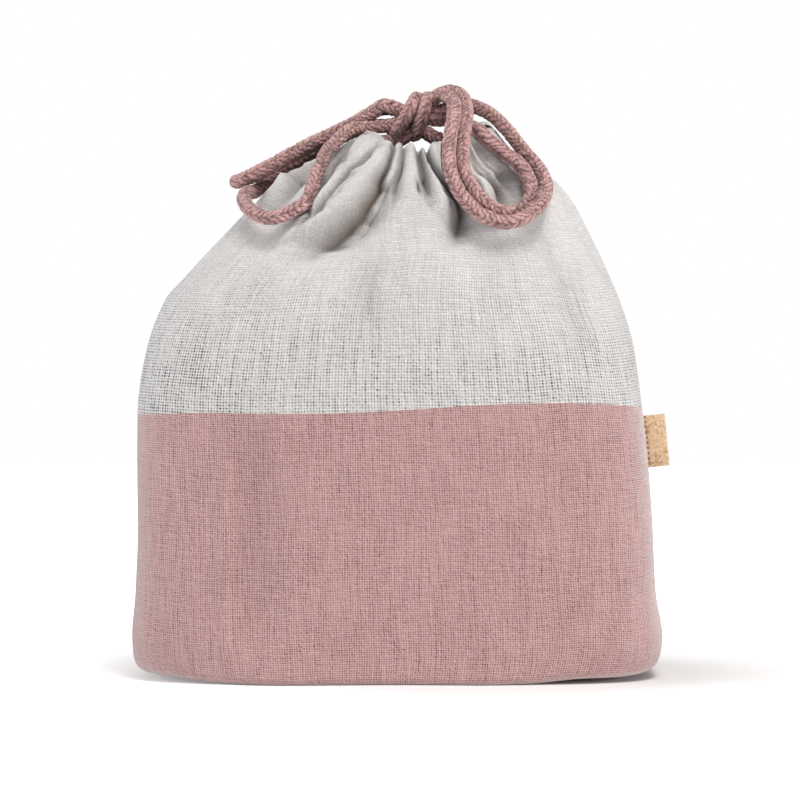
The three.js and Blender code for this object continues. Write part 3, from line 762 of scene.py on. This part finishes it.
# rounded rolls between the creases, each point (x, z, height, half width)
frontRolls = [
    [(-26, 158, 0.2, 10), (-32, 146, 0.9, 12), (-36, 134, 0.9, 13), (-38, 122, 0.1, 14)],
    [(9, 176, 0.2, 8), (13, 160, 0.9, 11), (16, 144, 1, 13), (17, 128, 0.1, 15)],
    [(-2.4, 198.4, 1.2, 4), (-5, 190.2, 3.4, 5.5), (-9, 184, 5, 6.5), (-14.2, 176.8, 6.2, 8),
     (-20.3, 170.8, 5.6, 9), (-26.8, 166.6, 4, 10), (-32.2, 163.4, 1.4, 10)],
    [(-10, 203.2, 1.6, 5), (-13.1, 193.3, 3, 5), (-16.9, 185.6, 3.6, 5), (-20.9, 180.5, 4, 5),
     (-26, 175.6, 3.8, 5.5), (-31.9, 171.9, 2.4, 6), (-35.3, 166.3, 0.8, 7)],
    [(-41.7, 200.6, 0.6, 5), (-38.1, 194.7, 1.8, 6), (-40, 190.3, 2.4, 7), (-45.4, 185.8, 1, 8)],
    [(5.3, 193.9, 0.8, 3), (5.3, 186.3, 1.6, 3.6), (4.4, 180.9, 1.6, 5), (3.6, 177.7, 0.5, 6)],
    [(14, 192.2, 1, 2.5), (12.4, 185.7, 1.4, 3), (14.5, 180.2, 1.8, 4), (17.5, 175.9, 1.2, 5)],
    [(17.6, 192.4, 1.2, 3.5), (20.5, 184, 1.8, 4), (26.5, 176.8, 1.6, 5)],
]
# the back hangs in folds of its own
backCreases = [
    [(-15, 202, 2.4, 1.8), (-20, 194, 4, 2.2), (-33, 183, 4.6, 3), (-42, 172, 1.4, 5)],
    [(-6, 202, 2.6, 1.2), (-10, 195, 3.8, 1.4), (-17, 186, 5.2, 2), (-23, 175, 2, 4.5)],
    [(0, 200.6, 2.8, 1.1), (-1.5, 193, 4, 1.3), (-4, 184.5, 4.8, 1.8), (-6, 172, 1.6, 4)],
    [(5.5, 200, 2.4, 1), (5, 192.5, 3.4, 1.1), (4.6, 183.5, 2, 2.2)],
    [(11.5, 200, 3, 1), (12, 192.5, 4.2, 1.2), (13, 182, 5, 1.8), (13, 169, 1.6, 4)],
    [(17, 200.5, 2.6, 1.1), (19, 192.5, 4, 1.4), (23, 184, 4.4, 2), (27, 174, 1.6, 4)],
    [(23, 202, 2.2, 1), (28, 194, 3.2, 1.3), (33, 187, 1.6, 2.4)],
    [(28.5, 203.5, 2.6, 1.3), (34, 195, 4.2, 1.8), (42, 185, 4.6, 2.6), (49, 174, 1.4, 5)],
    [(35, 204.5, 2.4, 1.4), (44, 194, 3.6, 2.2), (55, 180, 1.6, 4.5)],
]
backRolls = [
    [(-11, 202.5, 1.6, 5), (-15.5, 194, 2.8, 5.5), (-25, 183.5, 3.6, 7), (-33, 172, 1.6, 9)],
    [(8.5, 199, 1, 3.2), (8.7, 190, 1.6, 4), (9, 178, 1.4, 6)],
    [(31, 203, 1.6, 4.5), (38, 190, 2.6, 6), (46, 178, 1.8, 8)],
]


folds = {
    "depth": 1.85, "fullShade": 6, "tail": 11, "flat": 0.9, "flatReach": 5, "flatFade": 5.5,
    "slack": 0.6, "slackStart": 128, "slackRise": 35, "slackEnd": 178, "slackFall": 16,
}


def lineOnSheet(grid, outerRows, points):
    # rows and columns of the sheet where a line seen from the front runs, from its lower end up
    x, z = grid[:outerRows, :, 0], grid[:outerRows, :, 2]
    column = np.arange(grid.shape[1])
    rowAt, columnAt = [], []
    for px, pz, *_ in points:
        columnsHere = np.array([np.interp(px, line, column) for line in x])
        heights = np.array([np.interp(c, column, z[r]) for r, c in enumerate(columnsHere)])
        rowAt.append(float(np.interp(pz, heights, np.arange(outerRows))))
        columnAt.append(float(np.interp(rowAt[-1], np.arange(outerRows), columnsHere)))
    sizes = np.array([point[2:] for point in points], float)
    return np.array(rowAt[::-1]), np.array(columnAt[::-1]), sizes[::-1]


def foldFar(grid, outerRows, points):
    # distance of every point from the line in units of its width, and the line's height there
    rows, columns = grid.shape[:2]
    rowAt, columnAt, sizes = lineOnSheet(grid, outerRows, points)
    every = np.arange(rows)
    centre = np.interp(every, rowAt, columnAt)
    tail = smoothStep((every - rowAt[0] + folds["tail"]) / folds["tail"])
    steps = np.linalg.norm(np.diff(grid, axis=1), axis=2)
    reach = runLength(grid, 1)
    middle = np.array([np.interp(c, np.arange(columns), line) for c, line in zip(centre, reach)])
    here = steps[every, np.clip(centre.astype(int), 0, columns - 2)]
    climb = np.maximum(np.linalg.norm(np.gradient(grid[:, columns // 2], axis=0), axis=1), 0.25)
    lean = np.gradient(centre) * here / climb
    wide = np.interp(every, rowAt, sizes[:, 1])
    far = (reach - middle[:, None]) / (np.sqrt(1 + lean**2) * wide)[:, None]
    return far, (np.interp(every, rowAt, sizes[:, 0]) * tail)[:, None]


def belowRim(grid, outerRows):
    # how far each row lies below the rim, along the middle of the sheet
    reach = runLength(grid[:, grid.shape[1] // 2], 0)
    return (reach[outerRows - 1] - reach)[:, None]


def foldShift(grid, outerRows, creases, rolls, way):
    valley = np.zeros(grid.shape[:2])
    shade = np.zeros(grid.shape[:2])
    for points in creases:
        far, deep = foldFar(grid, outerRows, points)
        valley += (deep * np.exp(-np.abs(far) ** 1.25)) ** 3
        # painted shade along each crease, darker for deeper creases
        dark = np.clip(deep / folds["fullShade"], 0, 1)
        shade = np.maximum(shade, dark * np.exp(-np.abs(1.5 * far) ** 1.5))
    ridge = np.zeros(grid.shape[:2])
    for points in rolls:
        far, high = foldFar(grid, outerRows, points)
        ridge = np.maximum(ridge, high * np.clip(1 - far**2, 0, 1) ** 0.8)
    # slack of the cloth between the neck and the shoulder
    share = clothShares[None, :]
    height = grid[..., 2]
    fan = (smoothStep((height - folds["slackStart"]) / folds["slackRise"])
           * (1 - smoothStep((height - folds["slackEnd"]) / folds["slackFall"])))
    slack = (0.9 * np.sin(2 * math.pi * (7.3 * share + 0.13 * way) + 0.05 * height)
             + 0.6 * np.sin(2 * math.pi * (12.1 * share + 0.41 * way) - 0.03 * height))
    # the folds are drawn flat at the very rim
    down = belowRim(grid, outerRows)
    drawn = 1 - folds["flat"] * smoothStep((folds["flatReach"] - down) / folds["flatFade"])
    return folds["depth"] * drawn * (ridge - np.cbrt(valley)) + fan * slack * folds["slack"], shade


bowRest = {"clear": 2.9, "search": 14, "deepest": 4, "step": 0.3, "smoothing": 2}


def underCords(grid, normals, shift):
    # how far the cloth gives way to the bow loops that lie on it
    tree = KDTree(len(bowPoints))
    for i, point in enumerate(bowPoints):
        tree.insert(point, i)
    tree.balance()
    step = bowRest["step"]
    give = np.zeros(shift.shape)
    for r, c in np.ndindex(shift.shape):
        place = Vector(grid[r, c])
        if tree.find(place)[2] > bowRest["search"]:
            continue
        out = Vector(normals[r, c])
        for s in np.arange(-bowRest["deepest"], shift[r, c] + step, step):
            if tree.find(place + out * s)[2] < bowRest["clear"]:
                give[r, c] = max(shift[r, c] - s + step, 0)
                break
    for _ in range(bowRest["smoothing"]):
        padded = np.pad(give, 1, mode="edge")
        tall, wide = give.shape
        around = np.stack([padded[i:i + tall, j:j + wide] for i in range(3) for j in range(3)])
        give = np.maximum(give, around.mean(axis=0))
    return give


# long ridges and a hollow of the lower front: place along X, height, width, upper end and how softly it ends
frontRidges = [
    {"x": -63, "high": 1.5, "wide": 2.2, "top": 98, "fade": 16},
    {"x": -52, "high": -1.6, "wide": 9, "top": 98, "fade": 24},
    {"x": 85, "high": 1.1, "wide": 4.5, "top": 46, "fade": 16},
]


def softWall(grid, way):
    # slight unevenness of the filled walls
    x, z = grid[..., 0], grid[..., 2]
    uneven = (0.35 * np.sin(x / 17 + 1.1 * way) * np.sin(z / 31 + 0.4)
              + 0.22 * np.sin(x / 9.5 + 2.3 * way + z / 40) + 0.2 * np.sin(z / 13 + x / 60))
    if way > 0:
        return uneven
    ridges = sum(ridge["high"] * np.exp(-((x - ridge["x"]) / ridge["wide"]) ** 2)
                 * smoothStep((ridge["top"] - z) / ridge["fade"]) for ridge in frontRidges)
    return ridges + uneven


seamTurn = {"deep": 0.9, "wide": 1.3}


def seamDip(grid):
    # the sheets turn in at the side seams
    left = runLength(grid, 1)
    right = left[:, -1:] - left
    return -seamTurn["deep"] * np.exp(-(np.minimum(left, right) / seamTurn["wide"]) ** 2)


rowCounts = {"roll": 8, "lower": 66, "upper": 26, "gathers": 80, "casing": 25, "lip": 10, "inside": 10}


def lowerRows():
    rows = []
    fade = bagCloth["lineFade"]
    radius = bagCloth["bottomRadius"]
    for t in np.linspace(0.12, 1, rowCounts["roll"]) * math.pi / 2:
        row = wallRow(radius * (1 - math.cos(t)))
        inset = radius * (1 - math.sin(t))
        row["half"] -= inset
        row["depth"] -= inset
        rows.append(row)
    for height in np.linspace(radius, bagCloth["line"], rowCounts["lower"])[1:]:
        rows.append(wallRow(float(height), line=float(smoothStep((height - bagCloth["line"] + fade) / fade))))
    return rows


def upperRows():
    line, fade, shoulder = bagCloth["line"], bagCloth["lineFade"], bagCloth["shoulder"]
    rows = [wallRow(float(h), line=float(smoothStep((line + fade - h) / fade)))
            for h in np.linspace(line, shoulder, rowCounts["upper"])]
    rows += [wallRow(float(h)) for h in np.linspace(shoulder, bagCloth["hem"], rowCounts["gathers"])[1:]]
    rows += [casingRow(float(a), 0) for a in np.linspace(neck["casing"], 0, rowCounts["casing"])[1:]]
    outer = len(rows)
    half = neck["deep"] / 2
    for t in np.linspace(0, math.pi, rowCounts["lip"])[1:-1]:
        rows.append(casingRow(-0.55 * half * math.sin(t), half * (1 - math.cos(t))))
    inside = np.linspace(0, neck["casing"] - 1, rowCounts["inside"])
    rows += [casingRow(float(a), neck["deep"]) for a in inside]
    return rows, outer


lowEdge = {"reach": 30, "firm": 3, "soft": 12}
# painted shade along the hollow of the lower front: place along X, width, strength, and where it fades in low
# and out high
frontHollowShade = {"x": -50, "wide": 9, "shade": 0.12, "low": 12, "lowFade": 50, "high": 104, "highFade": 12}


def makeLower(side, way):
    lower = sheetRows(lowerRows(), way)
    low = 1 - smoothStep(lower[..., 2] / lowEdge["reach"])
    lower[..., 2] += softLift(edgeLift, lower[..., 0]) * low
    if way < 0:
        lower[..., 1] -= softLift(edgeOut, lower[..., 0]) * low
    x, z = lower[..., 0], lower[..., 2]
    shift = softWall(lower, way) * smoothStep((z - lowEdge["firm"]) / lowEdge["soft"])
    flat = lower + normalsOf(lower, way) * (shift + seamDip(lower))[..., None]
    flat[:, [0, -1], 1] = lower[:, [0, -1], 1]
    # painted shade in a band along the hollow of the lower front, left of the middle
    shade = frontHollowShade["shade"] * np.exp(-((x - frontHollowShade["x"]) / frontHollowShade["wide"]) ** 2) * (way < 0)
    shade = (shade * smoothStep((z - frontHollowShade["low"]) / frontHollowShade["lowFade"])
             * smoothStep((frontHollowShade["high"] - z) / frontHollowShade["highFade"]))
    piece, reached = clothSheet(f"lower{side}", flat, roseCloth, 0, way, shade)
    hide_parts(f"lower_{side.lower()}_panel")
    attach(piece, "bag")
    return lower, reached


# the gathered cloth stands out over the cords in the casing, and its folds are shallow there
puff = {"high": 4.6, "end": 47, "fade": 29, "start": -1, "rise": 5.8}
overCords = {"deepest": -12, "held": 11.1, "end": 22.5, "fade": 7, "insideRow": 4, "inside": 0.25}
wallEnd = {"start": 150, "fade": 30}


def makeUpper(side, way, creases, rolls, reached):
    table, outer = upperRows()
    upper = sheetRows(table, way)
    down = belowRim(upper, outer)
    high = puff["high"] * smoothStep((puff["end"] - down) / puff["fade"])
    high = high * smoothStep((down - puff["start"]) / puff["rise"])
    shift = softWall(upper, way) * (1 - smoothStep((upper[..., 2] - wallEnd["start"]) / wallEnd["fade"]))
    shift = shift + high * np.sin(math.pi * clothShares)[None, :]
    folded, shade = foldShift(upper, outer, creases, rolls, way)
    shift += folded
    held = smoothStep((overCords["end"] - down) / overCords["fade"])
    shift = np.maximum(shift, overCords["deepest"] + overCords["held"] * held)
    shift[outer + overCords["insideRow"]:] *= overCords["inside"]
    shade[outer:] = 0
    normals = normalsOf(upper, way)
    shift[:outer] -= underCords(upper[:outer], normals[:outer], shift[:outer])
    gathered = upper + normals * (shift + seamDip(upper))[..., None]
    gathered[:, [0, -1], 1] = upper[:, [0, -1], 1]
    piece, _ = clothSheet(f"upper{side}", gathered, naturalCloth, reached, way, shade)
    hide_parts(f"upper_{side.lower()}_panel", f"{side.lower()}_casing")
    mouthBlend(piece)
    area = sum(face.area for face in piece.data.polygons) / 2
    print(f"{piece.name}: {area * 1e6:.0f} mm2 of cloth")
    return upper


frontLower, frontReached = makeLower("Front", -1)
frontUpper = makeUpper("Front", -1, frontCreases, frontRolls, frontReached)
backLower, backReached = makeLower("Back", 1)
makeUpper("Back", 1, backCreases, backRolls, backReached)
print("cloth gathered")


# seam allowances, flat inside the bag along both sides
seamStrip = {"inset": 2.4, "wide": 10, "bottomRow": 4, "top": 182, "step": 2.5}
for hand, column, way in (("left", 0, 1), ("right", -1, -1)):
    edge = np.vstack([frontLower[seamStrip["bottomRow"]:, column], frontUpper[1:, column]])
    stop = int(np.argmax(edge[:, 2] > seamStrip["top"]))
    edge = evenSteps(edge[:stop], seamStrip["step"])
    inward = np.linspace(seamStrip["inset"], seamStrip["inset"] + seamStrip["wide"], 5)
    strip = np.repeat(edge[:, None, :], len(inward), axis=1)
    strip[..., 0] += way * inward[None, :]
    piece, reached = clothSheet(f"{hand}Seam", strip, roseCloth, 0, way)
    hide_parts(f"{hand}_side_seam")
    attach(piece, "bag")
print("seams turned in")


# base, a flat panel inside the bottom edge of the walls, with its flat size in metres
base = {"flat": (0.204, 0.104), "rings": 22, "middle": 0.02, "edgeBend": 4}


def makeBase():
    edge = np.vstack([frontLower[0], backLower[0][::-1][1:-1]])
    centre = edge.mean(axis=0)
    centre[2] = edge[:, 2].min()
    rings = []
    for share in np.linspace(1, base["middle"], base["rings"]):
        ring = edge * share + centre * (1 - share)
        ring[:, 2] = centre[2] + (edge[:, 2] - centre[2]) * share**base["edgeBend"]
        rings.append(ring)
    points = np.vstack(rings)
    count = len(edge)
    faces = []
    for i in range(len(rings) - 1):
        for j in range(count):
            k = (j + 1) % count
            faces.append((i * count + j, (i + 1) * count + j, (i + 1) * count + k, i * count + k))
    faces.append(tuple((len(rings) - 1) * count + j for j in range(count)))
    piece = newPiece("baseCloth", points, faces, roseCloth)
    tidy = bmesh.new()
    tidy.from_mesh(piece.data)
    bmesh.ops.recalc_face_normals(tidy, faces=tidy.faces)
    if sum(face.normal.z for face in tidy.faces) > 0:
        bmesh.ops.reverse_faces(tidy, faces=tidy.faces)
    tidy.to_mesh(piece.data)
    tidy.free()
    weaveMap(piece, points[:, :2])
    thicken(piece)
    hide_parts("base_panel")
    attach(piece, "bag")


makeBase()
print("base laid")


# cork tag, a strip folded over and caught in the right side seam
tag = {
    "hinge": (95.7, 0, 88.95), "lean": math.radians(5.8), "wide": 7.75, "tall": 20, "leaf": 0.65,
    "fold": 0.45, "foldSteps": 6, "edge": 0.1, "sharp": math.radians(40), "stitchIn": 0.8, "stitch": 2,
    "thread": 0.28,
}
corkFinish = {
    "ground": fromScreen(203, 174, 139), "dark": fromScreen(158, 118, 82), "pale": fromScreen(232, 211, 184),
    "thread": fromScreen(88, 62, 48), "grains": 1500, "flecks": 620,
    "roughness": 0.75, "gloss": 0.3, "bump": 0.35,
}


def corkMaterial(name, finish):
    material, tree, shader = startMaterial(name)
    place = tree.nodes.new("ShaderNodeTexCoord").outputs["Object"]
    grains = noiseNode(tree, place, finish["grains"], 2)
    flecks = noiseNode(tree, place, finish["flecks"], 3, 0.65)
    colour = mixColour(tree, rangeNode(tree, grains, 0.5, 0.7), finish["ground"], finish["pale"])
    colour = mixColour(tree, rangeNode(tree, flecks, 0.52, 0.66, 0.0, 0.8), colour, finish["dark"])
    # dark stitches beside the seam
    split = tree.nodes.new("ShaderNodeSeparateXYZ")
    tree.links.new(place, split.inputs[0])
    slant = math.tan(tag["lean"])
    seam = (tag["hinge"][0] + slant * tag["hinge"][2] + tag["stitchIn"]) * mm
    level = mathNode(tree, "MULTIPLY_ADD", split.outputs[2], slant, split.outputs[0])
    beside = mathNode(tree, "SUBTRACT", level, seam)
    row = mathNode(tree, "LESS_THAN", mathNode(tree, "ABSOLUTE", beside), tag["thread"] * mm)
    along = mathNode(tree, "FRACT", times(tree, split.outputs[2], 1 / (tag["stitch"] * mm)))
    stitched = times(tree, row, mathNode(tree, "LESS_THAN", along, 0.55))
    colour = mixColour(tree, times(tree, stitched, 0.8), colour, finish["thread"])
    tree.links.new(colour, shader.inputs["Base Color"])
    shader.inputs["Roughness"].default_value = finish["roughness"]
    shader.inputs["Specular IOR Level"].default_value = finish["gloss"]
    bumpTo(tree, shader, flecks, finish["bump"], 0.3 * mm)
    return material


def selectPoints(piece, wanted):
    shape = bmesh.from_edit_mesh(piece.data)
    for point in shape.verts:
        point.select = bool(wanted(point.co))
    shape.select_flush_mode()
    shape.select_flush(True)
    bmesh.update_edit_mesh(piece.data)


def makeTag():
    hinge = Vector(tag["hinge"]) * mm
    wide, tall, fold = tag["wide"] * mm, tag["tall"] * mm, tag["fold"] * mm
    bpy.ops.object.select_all(action="DESELECT")
    bpy.ops.mesh.primitive_plane_add(size=1, location=(0, 0, 0))
    piece = bpy.context.active_object
    piece.name = "corkTag"
    bpy.ops.object.mode_set(mode="EDIT")
    bpy.ops.mesh.select_all(action="SELECT")
    bpy.ops.transform.rotate(value=math.radians(90), orient_axis="X", center_override=(0, 0, 0))
    bpy.ops.transform.resize(value=(wide, 1, tall), center_override=(0, 0, 0))
    bpy.ops.transform.translate(value=(hinge.x + wide / 2, -fold, hinge.z))
    # round the outer fold and back along the second leaf
    reach = hinge.x + wide
    selectPoints(piece, lambda point: point.x > reach - 1e-5)
    steps = tag["foldSteps"]
    for i in range(steps):
        a, b = math.pi * i / steps, math.pi * (i + 1) / steps
        bpy.ops.mesh.extrude_region_move(TRANSFORM_OT_translate={"value": (
            fold * (math.sin(b) - math.sin(a)), fold * (math.cos(a) - math.cos(b)), 0)})
    bpy.ops.mesh.extrude_region_move(TRANSFORM_OT_translate={"value": (-wide, 0, 0)})
    bpy.ops.mesh.select_all(action="SELECT")
    bpy.ops.transform.rotate(value=tag["lean"], orient_axis="Y", center_override=hinge)
    bpy.ops.mesh.normals_make_consistent(inside=False)
    bpy.ops.object.mode_set(mode="OBJECT")
    solid = piece.modifiers.new("leaf", "SOLIDIFY")
    solid.thickness = tag["leaf"] * mm
    solid.offset = 0
    edges = piece.modifiers.new("edges", "BEVEL")
    edges.width = tag["edge"] * mm
    edges.segments = 2
    edges.limit_method = "ANGLE"
    applyModifiers(piece)
    piece.data.polygons.foreach_set("use_smooth", np.ones(len(piece.data.polygons), bool))
    piece.data.set_sharp_from_angle(angle=tag["sharp"])
    piece.data.materials.append(corkMaterial("cork", corkFinish))
    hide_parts("cork_tag")
    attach(piece, "tag")


makeTag()
print("tag folded")


# stage and light
stage = {"floorSize": 8, "floorColour": 0.87, "near": 0.074, "far": 0.255, "shade": 0.038,
         "world": 0.345, "worldColour": (0.97, 0.985, 1, 1)}

floorMaterial, tree, shader = startMaterial("paleFloor")
shader.inputs["Base Color"].default_value = (stage["floorColour"],) * 3 + (1,)
shader.inputs["Roughness"].default_value = 1
shader.inputs["Specular IOR Level"].default_value = 0
rays = tree.nodes.new("ShaderNodeLightPath")
seen = mathNode(tree, "MAXIMUM", rays.outputs["Is Camera Ray"], rays.outputs["Is Glossy Ray"])
# painted light: the floor glows for camera and glossy rays, from none near the bag to full farther away, so
# it goes over into the white background away from the bag; the glow's centre lies a little right of the bag
away = tree.nodes.new("ShaderNodeVectorMath")
away.operation = "DISTANCE"
away.inputs[1].default_value = (stage["shade"], 0, 0)
tree.links.new(tree.nodes.new("ShaderNodeTexCoord").outputs["Object"], away.inputs[0])
glow = rangeNode(tree, away.outputs["Value"], stage["near"], stage["far"])
shader.inputs["Emission Color"].default_value = (1, 1, 1, 1)
tree.links.new(times(tree, seen, glow), shader.inputs["Emission Strength"])
bpy.ops.object.select_all(action="DESELECT")
bpy.ops.mesh.primitive_plane_add(size=stage["floorSize"], location=(0, 0, 0))
floor = bpy.context.active_object
floor.name = "floor"
floor.data.materials.append(floorMaterial)

world = bpy.data.worlds.new("studio")
scene.world = world
world.use_nodes = True
tree = world.node_tree
tree.nodes.clear()
soft = tree.nodes.new("ShaderNodeBackground")
soft.inputs["Strength"].default_value = stage["world"]
soft.inputs["Color"].default_value = stage["worldColour"]
white = tree.nodes.new("ShaderNodeBackground")
white.inputs["Color"].default_value = (1, 1, 1, 1)
rays = tree.nodes.new("ShaderNodeLightPath")
seen = mathNode(tree, "MAXIMUM", rays.outputs["Is Camera Ray"],
                mathNode(tree, "MAXIMUM", rays.outputs["Is Glossy Ray"], rays.outputs["Is Transmission Ray"]))
mix = tree.nodes.new("ShaderNodeMixShader")
tree.links.new(seen, mix.inputs[0])
tree.links.new(soft.outputs[0], mix.inputs[1])
tree.links.new(white.outputs[0], mix.inputs[2])
out = tree.nodes.new("ShaderNodeOutputWorld")
tree.links.new(mix.outputs[0], out.inputs[0])

lamps = {
    "rightLamp": {"place": (1.6, -1.1, 0.25), "size": 0.8, "power": 21.5, "colour": (1, 0.97, 0.94)},
    "topLamp": {"place": (0.35, -0.8, 1.55), "size": 0.6, "power": 18, "colour": (1, 0.98, 0.96)},
    "leftLamp": {"place": (-1.6, -0.25, 0.42), "size": 0.8, "power": 15, "colour": (1, 1, 1)},
}
for name, lamp in lamps.items():
    data = bpy.data.lights.new(name, "AREA")
    data.size = lamp["size"]
    data.energy = lamp["power"]
    data.color = lamp["colour"]
    lampObject = bpy.data.objects.new(name, data)
    lampObject.location = lamp["place"]
    aim = Vector((0, 0, 0.1)) - Vector(lamp["place"])
    lampObject.rotation_euler = aim.to_track_quat("-Z", "Y").to_euler()
    scene.collection.objects.link(lampObject)
print("stage lit")
